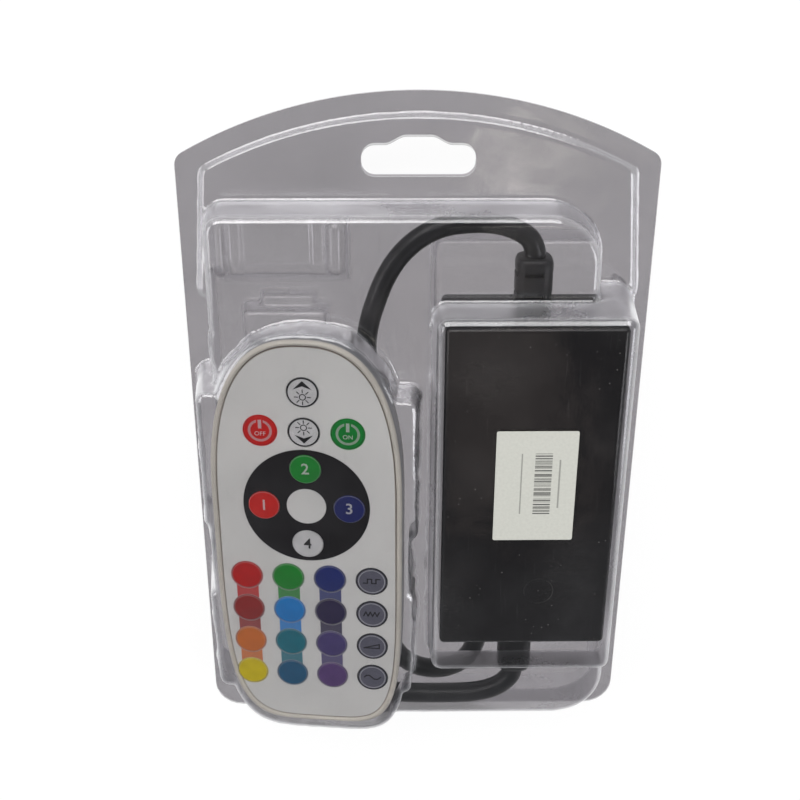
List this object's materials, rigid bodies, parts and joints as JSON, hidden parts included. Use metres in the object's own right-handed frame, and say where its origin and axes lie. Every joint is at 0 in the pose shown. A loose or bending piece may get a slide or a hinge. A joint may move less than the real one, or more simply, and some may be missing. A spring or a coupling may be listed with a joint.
{
  "type": "led strip controller",
  "caption": "Mains LED strip controller box with two leads and a slim keypad remote, lying in a clear hinged blister pack with an arched header and a hanging slot.",
  "frame": {"origin": "on the ground under the middle of the pack's bounding box", "axes": "+X to the right of the pack, +Y towards the hanging slot, +Z out of the front"},
  "size_m": [0.136, 0.21, 0.0382],
  "materials": {
    "clear_cover": "clear formed sheet, glossy",
    "clear_tray": "clear formed sheet, glossy",
    "label_paper": "matte self-adhesive label",
    "black_case": "glossy black, lightly scratched and dusty",
    "black_base": "satin black",
    "screw_steel": "zinc plated",
    "green_board": "solder mask",
    "black_epoxy": "moulded epoxy",
    "capacitor_can": "sleeved can",
    "fuse_caps": "plated end caps",
    "radio_board": "small daughter board",
    "black_rubber": "satin black moulded rubber",
    "black_cord": "satin black jacket",
    "black_plug": "satin black moulding",
    "nickel_pins": "nickel plated brass",
    "white_connector": "natural white nylon",
    "gilt_contacts": "tinned and gilt contact metal",
    "cream_plastic": "cream, semi gloss",
    "grey_overlay": "printed film, fine texture",
    "snap_dome_steel": "stainless snap domes on film",
    "emitter_resin": "tinted clear resin",
    "cell_steel": "plated steel can",
    "key_brighter": "printed key face",
    "key_dimmer": "printed key face",
    "key_off": "printed key face",
    "key_on": "printed key face",
    "key_green": "printed key face",
    "key_red": "printed key face",
    "key_blue": "printed key face",
    "key_white": "printed key face",
    "key_r1c1": "printed key face",
    "key_r1c2": "printed key face",
    "key_r1c3": "printed key face",
    "key_r2c1": "printed key face",
    "key_r2c2": "printed key face",
    "key_r2c3": "printed key face",
    "key_r3c1": "printed key face",
    "key_r3c2": "printed key face",
    "key_r3c3": "printed key face",
    "key_r4c1": "printed key face",
    "key_r4c2": "printed key face",
    "key_r4c3": "printed key face",
    "key_mode1": "printed key face",
    "key_mode2": "printed key face",
    "key_mode3": "printed key face",
    "key_mode4": "printed key face"
  },
  "bodies": {
    "pack": {"back_tray": "clear_tray", "controller_case": "black_case", "controller_base": "black_base", "case_screws": "screw_steel", "controller_board": "green_board", "bridge_rectifier": "black_epoxy", "bulk_capacitor": "capacitor_can", "mains_fuse": "fuse_caps", "switching_transistors": "black_epoxy", "control_chip": "black_epoxy", "radio_receiver": "radio_board", "mains_gland": "black_rubber", "output_gland": "black_rubber", "mains_lead": "black_cord", "output_lead": "black_cord", "plug_body": "black_plug", "plug_pins": "nickel_pins", "output_connector": "white_connector", "connector_pins": "gilt_contacts", "remote_bezel": "cream_plastic", "remote_back": "cream_plastic", "remote_overlay": "grey_overlay", "contact_domes": "snap_dome_steel", "remote_board": "green_board", "remote_emitter": "emitter_resin", "coin_cell": "cell_steel", "battery_drawer": "cream_plastic", "battery_clip": "gilt_contacts"},
    "cover": {"front_shell": "clear_cover", "price_label": "label_paper"},
    "key_brighter_body": {"key_brighter": "key_brighter"},
    "key_dimmer_body": {"key_dimmer": "key_dimmer"},
    "key_off_body": {"key_off": "key_off"},
    "key_on_body": {"key_on": "key_on"},
    "key_green_body": {"key_green": "key_green"},
    "key_red_body": {"key_red": "key_red"},
    "key_blue_body": {"key_blue": "key_blue"},
    "key_white_body": {"key_white": "key_white"},
    "key_r1c1_body": {"key_r1c1": "key_r1c1"},
    "key_r1c2_body": {"key_r1c2": "key_r1c2"},
    "key_r1c3_body": {"key_r1c3": "key_r1c3"},
    "key_r2c1_body": {"key_r2c1": "key_r2c1"},
    "key_r2c2_body": {"key_r2c2": "key_r2c2"},
    "key_r2c3_body": {"key_r2c3": "key_r2c3"},
    "key_r3c1_body": {"key_r3c1": "key_r3c1"},
    "key_r3c2_body": {"key_r3c2": "key_r3c2"},
    "key_r3c3_body": {"key_r3c3": "key_r3c3"},
    "key_r4c1_body": {"key_r4c1": "key_r4c1"},
    "key_r4c2_body": {"key_r4c2": "key_r4c2"},
    "key_r4c3_body": {"key_r4c3": "key_r4c3"},
    "key_mode1_body": {"key_mode1": "key_mode1"},
    "key_mode2_body": {"key_mode2": "key_mode2"},
    "key_mode3_body": {"key_mode3": "key_mode3"},
    "key_mode4_body": {"key_mode4": "key_mode4"}
  },
  "joints": [
    {"name": "cover_hinge", "type": "hinge", "parent": "pack", "child": "cover", "pos_m": [0, -0.105, 0.01055], "axis": [1, 0, 0], "range_deg": [0, 130]},
    {"name": "press_brighter", "type": "slide", "parent": "pack", "child": "key_brighter_body", "axis": [0.1045, 0, -0.9945], "range_m": [0, 0.0003], "stiffness_N_per_m": 200, "springref_m": -0.0005},
    {"name": "press_dimmer", "type": "slide", "parent": "pack", "child": "key_dimmer_body", "axis": [0.1045, 0, -0.9945], "range_m": [0, 0.0003], "stiffness_N_per_m": 200, "springref_m": -0.0005},
    {"name": "press_off", "type": "slide", "parent": "pack", "child": "key_off_body", "axis": [0.1045, 0, -0.9945], "range_m": [0, 0.0003], "stiffness_N_per_m": 200, "springref_m": -0.0005},
    {"name": "press_on", "type": "slide", "parent": "pack", "child": "key_on_body", "axis": [0.1045, 0, -0.9945], "range_m": [0, 0.0003], "stiffness_N_per_m": 200, "springref_m": -0.0005},
    {"name": "press_green", "type": "slide", "parent": "pack", "child": "key_green_body", "axis": [0.1045, 0, -0.9945], "range_m": [0, 0.0003], "stiffness_N_per_m": 200, "springref_m": -0.0005},
    {"name": "press_red", "type": "slide", "parent": "pack", "child": "key_red_body", "axis": [0.1045, 0, -0.9945], "range_m": [0, 0.0003], "stiffness_N_per_m": 200, "springref_m": -0.0005},
    {"name": "press_blue", "type": "slide", "parent": "pack", "child": "key_blue_body", "axis": [0.1045, 0, -0.9945], "range_m": [0, 0.0003], "stiffness_N_per_m": 200, "springref_m": -0.0005},
    {"name": "press_white", "type": "slide", "parent": "pack", "child": "key_white_body", "axis": [0.1045, 0, -0.9945], "range_m": [0, 0.0003], "stiffness_N_per_m": 200, "springref_m": -0.0005},
    {"name": "press_r1c1", "type": "slide", "parent": "pack", "child": "key_r1c1_body", "axis": [0.1045, 0, -0.9945], "range_m": [0, 0.0003], "stiffness_N_per_m": 200, "springref_m": -0.0005},
    {"name": "press_r1c2", "type": "slide", "parent": "pack", "child": "key_r1c2_body", "axis": [0.1045, 0, -0.9945], "range_m": [0, 0.0003], "stiffness_N_per_m": 200, "springref_m": -0.0005},
    {"name": "press_r1c3", "type": "slide", "parent": "pack", "child": "key_r1c3_body", "axis": [0.1045, 0, -0.9945], "range_m": [0, 0.0003], "stiffness_N_per_m": 200, "springref_m": -0.0005},
    {"name": "press_r2c1", "type": "slide", "parent": "pack", "child": "key_r2c1_body", "axis": [0.1045, 0, -0.9945], "range_m": [0, 0.0003], "stiffness_N_per_m": 200, "springref_m": -0.0005},
    {"name": "press_r2c2", "type": "slide", "parent": "pack", "child": "key_r2c2_body", "axis": [0.1045, 0, -0.9945], "range_m": [0, 0.0003], "stiffness_N_per_m": 200, "springref_m": -0.0005},
    {"name": "press_r2c3", "type": "slide", "parent": "pack", "child": "key_r2c3_body", "axis": [0.1045, 0, -0.9945], "range_m": [0, 0.0003], "stiffness_N_per_m": 200, "springref_m": -0.0005},
    {"name": "press_r3c1", "type": "slide", "parent": "pack", "child": "key_r3c1_body", "axis": [0.1045, 0, -0.9945], "range_m": [0, 0.0003], "stiffness_N_per_m": 200, "springref_m": -0.0005},
    {"name": "press_r3c2", "type": "slide", "parent": "pack", "child": "key_r3c2_body", "axis": [0.1045, 0, -0.9945], "range_m": [0, 0.0003], "stiffness_N_per_m": 200, "springref_m": -0.0005},
    {"name": "press_r3c3", "type": "slide", "parent": "pack", "child": "key_r3c3_body", "axis": [0.1045, 0, -0.9945], "range_m": [0, 0.0003], "stiffness_N_per_m": 200, "springref_m": -0.0005},
    {"name": "press_r4c1", "type": "slide", "parent": "pack", "child": "key_r4c1_body", "axis": [0.1045, 0, -0.9945], "range_m": [0, 0.0003], "stiffness_N_per_m": 200, "springref_m": -0.0005},
    {"name": "press_r4c2", "type": "slide", "parent": "pack", "child": "key_r4c2_body", "axis": [0.1045, 0, -0.9945], "range_m": [0, 0.0003], "stiffness_N_per_m": 200, "springref_m": -0.0005},
    {"name": "press_r4c3", "type": "slide", "parent": "pack", "child": "key_r4c3_body", "axis": [0.1045, 0, -0.9945], "range_m": [0, 0.0003], "stiffness_N_per_m": 200, "springref_m": -0.0005},
    {"name": "press_mode1", "type": "slide", "parent": "pack", "child": "key_mode1_body", "axis": [0.1045, 0, -0.9945], "range_m": [0, 0.0003], "stiffness_N_per_m": 200, "springref_m": -0.0005},
    {"name": "press_mode2", "type": "slide", "parent": "pack", "child": "key_mode2_body", "axis": [0.1045, 0, -0.9945], "range_m": [0, 0.0003], "stiffness_N_per_m": 200, "springref_m": -0.0005},
    {"name": "press_mode3", "type": "slide", "parent": "pack", "child": "key_mode3_body", "axis": [0.1045, 0, -0.9945], "range_m": [0, 0.0003], "stiffness_N_per_m": 200, "springref_m": -0.0005},
    {"name": "press_mode4", "type": "slide", "parent": "pack", "child": "key_mode4_body", "axis": [0.1045, 0, -0.9945], "range_m": [0, 0.0003], "stiffness_N_per_m": 200, "springref_m": -0.0005}
  ]
}
